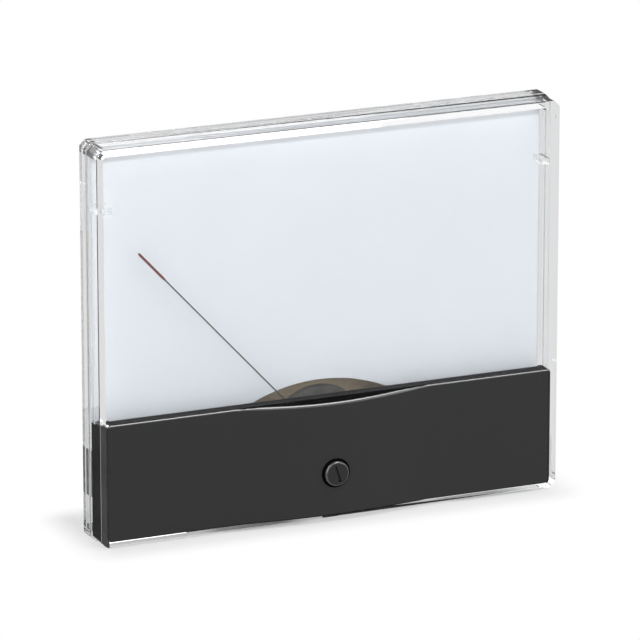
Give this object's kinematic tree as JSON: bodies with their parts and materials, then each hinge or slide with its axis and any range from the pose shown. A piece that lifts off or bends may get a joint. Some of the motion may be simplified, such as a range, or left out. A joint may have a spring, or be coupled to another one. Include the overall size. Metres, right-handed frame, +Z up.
{
  "type": "analog panel meter",
  "caption": "Rectangular analog panel meter: clear box cover, black lower mask with zero adjuster, blank dial, moving-coil pointer and round rear barrel with terminals.",
  "frame": {"origin": "where the barrel's axis meets the panel plane, which is the rear face of the cover", "axes": "+X to the right seen from the front, +Y back through the panel along the barrel's axis, +Z up"},
  "size_m": [0.1, 0.0514, 0.082],
  "materials": {
    "clear_plastic": "clear polished moulded acrylic",
    "mask_black": "satin black moulded plastic",
    "adjuster_black": "black moulded plastic, slightly glossy",
    "dial_white": "smooth pale blue-white enamel on sheet",
    "housing_brown": "dark brown phenolic moulding",
    "frame_grey": "pale grey moulded plastic",
    "plate_brown": "olive-brown laminated phenolic sheet",
    "pointer_paint": "dark painted aluminium with a dark red tip",
    "coil_aluminium": "thin aluminium sheet",
    "copper_wire": "enamelled copper wire",
    "pivot_steel": "polished hardened steel",
    "spring_bronze": "thin phosphor bronze strip",
    "magnet_steel": "ground magnet alloy",
    "yoke_iron": "turned soft iron",
    "frame_zinc": "dark die-cast zinc",
    "brass": "turned brass",
    "jewel_red": "polished synthetic sapphire",
    "zinc_screws": "zinc-plated steel",
    "lead_red": "red wire insulation",
    "lead_black": "black wire insulation"
  },
  "bodies": {
    "case": {"front_cover": "clear_plastic", "lower_mask": "mask_black", "dial_plate": "dial_white", "dial_screws": "zinc_screws", "core_magnet": "magnet_steel", "core_spacers": "brass", "yoke_ring": "yoke_iron", "front_frame": "frame_zinc", "rear_bridge": "frame_zinc", "movement_screws": "zinc_screws", "front_jewel_screw": "brass", "front_jewel": "jewel_red", "front_lock_nut": "brass", "rear_jewel_screw": "brass", "rear_jewel": "jewel_red", "rear_lock_nut": "brass", "pointer_stops": "pivot_steel", "movement_plate": "plate_brown", "plate_screws": "zinc_screws", "base_frame": "frame_grey", "rear_housing": "housing_brown", "mounting_studs": "zinc_screws", "terminal_studs": "brass", "terminal_washers": "brass", "terminal_nuts": "brass", "terminal_lugs": "zinc_screws", "lock_washers": "zinc_screws", "terminal_outer_nuts": "brass", "positive_lead": "lead_red", "negative_lead": "lead_black"},
    "moving_coil": {"pointer": "pointer_paint", "balance_weights": "brass", "coil_former": "coil_aluminium", "coil_winding": "copper_wire", "front_pivot": "pivot_steel", "rear_pivot": "pivot_steel", "front_hairspring": "spring_bronze", "rear_hairspring": "spring_bronze"},
    "zero_adjuster": {"zero_adjuster": "adjuster_black"},
    "zero_lever": {"zero_lever": "brass"}
  },
  "joints": [
    {"name": "pointer_deflection", "type": "hinge", "parent": "case", "child": "moving_coil", "pos_m": [0, 0, -0.0185], "axis": [0, 1, 0], "range_deg": [-3, 88], "stiffness_Nm_per_rad": 0.00002, "deforming": ["front_hairspring", "rear_hairspring"]},
    {"name": "zero_adjust", "type": "hinge", "parent": "case", "child": "zero_adjuster", "pos_m": [0, 0, -0.02375], "axis": [0, 1, 0], "range_deg": [-40, 40]},
    {"name": "zero_lever_turn", "type": "hinge", "parent": "case", "child": "zero_lever", "pos_m": [0, 0, -0.0185], "axis": [0, 1, 0], "range_deg": [-9, 9]}
  ],
  "couplings": [
    {"joint": "zero_lever_turn", "follows": "zero_adjust", "ratio": 0.2}
  ]
}
